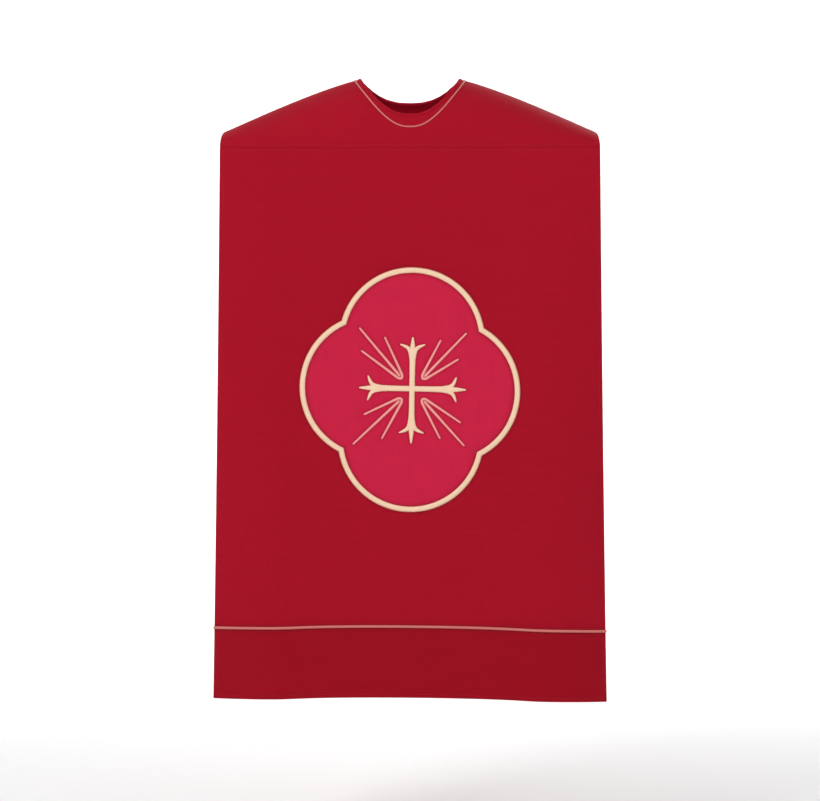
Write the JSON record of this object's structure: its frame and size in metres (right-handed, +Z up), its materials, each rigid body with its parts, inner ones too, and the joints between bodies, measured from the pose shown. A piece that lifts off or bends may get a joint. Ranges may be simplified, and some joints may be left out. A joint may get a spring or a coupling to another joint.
{
  "type": "chasuble",
  "caption": "Square-cut lined chasuble with open sides, a shaped neck opening, a piped hem band and a quatrefoil medallion holding a cross and rays.",
  "frame": {"origin": "middle of the neck opening, level with the ridge of the shoulders, where the garment is held up", "axes": "+Z up, -Y out of the front with the medallion, +X to the right as seen from the front"},
  "size_m": [0.636, 0.2626, 1.0094],
  "materials": {
    "red_cloth": "fine red wool-and-silk weave with a low sheen",
    "red_lining": "smooth red satin lining",
    "canvas": "unbleached cotton interlining",
    "crimson_satin": "pinker crimson satin ground",
    "gold_thread": "raised pale gold satin stitch",
    "gold_piping": "twisted rose-gold piping cord",
    "felt": "red felt backing"
  },
  "bodies": {
    "shoulders": {"yoke_shell": "red_cloth", "yoke_interlining": "canvas", "yoke_lining": "red_lining", "armhole_facing_left": "red_cloth", "armhole_facing_right": "red_cloth", "neck_binding": "red_cloth", "neck_piping": "gold_piping"},
    "front": {"front_panel": "red_cloth", "front_hem_band": "red_cloth", "front_interlining": "canvas", "front_lining": "red_lining", "front_facing_left": "red_cloth", "front_facing_right": "red_cloth", "front_hem_facing": "red_cloth", "front_hem_piping": "gold_piping", "medallion_backing": "felt", "medallion_ground": "crimson_satin", "medallion_border": "gold_thread", "cross": "gold_thread", "rays_upper_left": "gold_thread", "rays_upper_right": "gold_thread", "rays_lower_left": "gold_thread", "rays_lower_right": "gold_thread"},
    "back": {"back_panel": "red_cloth", "back_hem_band": "red_cloth", "back_interlining": "canvas", "back_lining": "red_lining", "back_facing_left": "red_cloth", "back_facing_right": "red_cloth", "back_hem_facing": "red_cloth", "back_hem_piping": "gold_piping"}
  },
  "joints": [
    {"name": "front_swing", "type": "hinge", "parent": "shoulders", "child": "front", "pos_m": [0, -0.12, -0.13], "axis": [-1, 0, 0], "range_deg": [-5, 60]},
    {"name": "back_swing", "type": "hinge", "parent": "shoulders", "child": "back", "pos_m": [0, 0.12, -0.13], "axis": [1, 0, 0], "range_deg": [-5, 60]}
  ]
}
